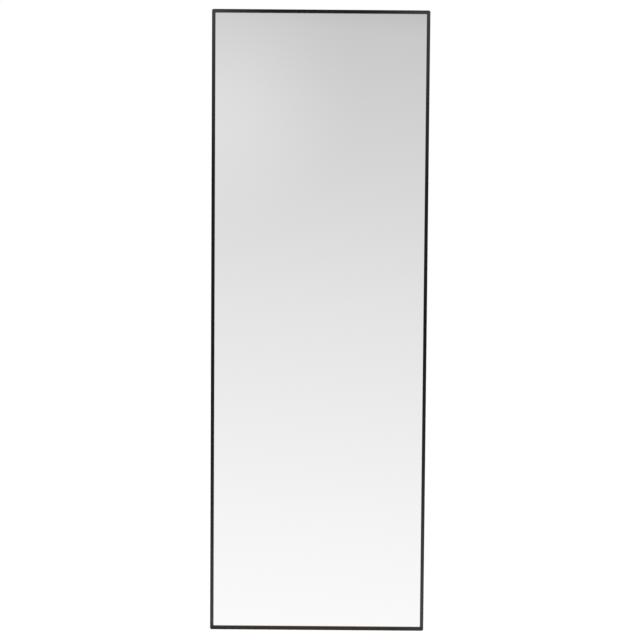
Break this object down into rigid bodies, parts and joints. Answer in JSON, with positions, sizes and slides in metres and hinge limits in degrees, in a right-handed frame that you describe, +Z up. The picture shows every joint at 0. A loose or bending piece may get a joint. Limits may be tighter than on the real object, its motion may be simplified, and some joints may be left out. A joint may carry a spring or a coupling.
{
  "type": "wall mirror",
  "caption": "Tall rectangular wall mirror in a thin black metal frame, with a backing board, spring clips, wall bumpers and swivelling D rings to hang it by.",
  "frame": {"origin": "centre of the mirror in the plane of the wall, on which the four rubber bumpers rest", "axes": "+Z up along the mirror's length, +Y into the wall, so that the glass faces -Y, and +X to the right of a person who looks into the mirror"},
  "size_m": [0.35, 0.026, 1.008],
  "materials": {
    "frame": "black powder coat, semi-matt",
    "silvered_glass": "silvered float glass",
    "foam": "closed-cell foam sheet",
    "fibreboard": "bare fibreboard",
    "spring_steel": "blued spring steel",
    "zinc_plate": "bright zinc plate",
    "black_steel": "black oxide",
    "nickel_wire": "nickel plate",
    "bumper_rubber": "moulded rubber"
  },
  "bodies": {
    "mirror": {"frame_top_rail": "frame", "frame_right_stile": "frame", "frame_bottom_rail": "frame", "frame_left_stile": "frame", "mirror_glass": "silvered_glass", "cushion_sheet": "foam", "backing_board": "fibreboard", "spring_left_top": "spring_steel", "spring_left_middle": "spring_steel", "spring_left_bottom": "spring_steel", "spring_right_top": "spring_steel", "spring_right_middle": "spring_steel", "spring_right_bottom": "spring_steel", "spring_top": "spring_steel", "spring_bottom": "spring_steel", "corner_key_top_right": "zinc_plate", "corner_backup_top_right": "zinc_plate", "corner_key_bottom_right": "zinc_plate", "corner_backup_bottom_right": "zinc_plate", "corner_key_bottom_left": "zinc_plate", "corner_backup_bottom_left": "zinc_plate", "corner_key_top_left": "zinc_plate", "corner_backup_top_left": "zinc_plate", "corner_set_screws": "black_steel", "hanger_nut_left": "zinc_plate", "hanger_plate_left": "zinc_plate", "hanger_nut_right": "zinc_plate", "hanger_plate_right": "zinc_plate", "hanger_screws": "zinc_plate", "wall_bumper_top_right": "bumper_rubber", "wall_bumper_bottom_right": "bumper_rubber", "wall_bumper_bottom_left": "bumper_rubber", "wall_bumper_top_left": "bumper_rubber"},
    "left_ring": {"hanger_ring_left": "nickel_wire"},
    "right_ring": {"hanger_ring_right": "nickel_wire"}
  },
  "joints": [
    {"name": "left_ring_hinge", "type": "hinge", "parent": "mirror", "child": "left_ring", "pos_m": [-0.153, -0.00347, 0.354], "axis": [1, 0, 0], "range_deg": [0, 230]},
    {"name": "right_ring_hinge", "type": "hinge", "parent": "mirror", "child": "right_ring", "pos_m": [0.153, -0.00347, 0.354], "axis": [1, 0, 0], "range_deg": [0, 230]}
  ]
}
